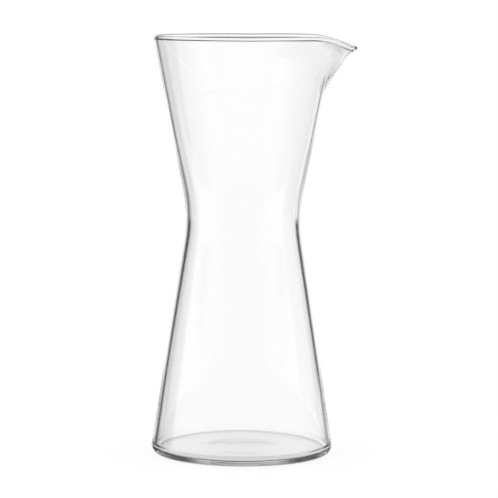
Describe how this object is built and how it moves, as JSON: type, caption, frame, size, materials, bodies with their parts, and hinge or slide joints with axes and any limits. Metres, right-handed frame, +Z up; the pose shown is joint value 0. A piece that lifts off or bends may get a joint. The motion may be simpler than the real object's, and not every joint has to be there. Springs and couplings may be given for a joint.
{
  "type": "carafe",
  "caption": "Clear glass carafe with an hourglass body, an open mouth and a pulled pouring lip, for serving drinks.",
  "frame": {"origin": "middle of the foot, on the table that the carafe stands on", "axes": "+Z up along the body's axis, +X from the axis towards the pouring lip, +Y to the left of the lip as seen from inside"},
  "size_m": [0.1164, 0.104, 0.2404],
  "materials": {
    "clear_glass": "clear, colourless, smooth and glossy inside and out"
  },
  "bodies": {
    "root": {"glass_vessel": "clear_glass"}
  },
  "joints": []
}
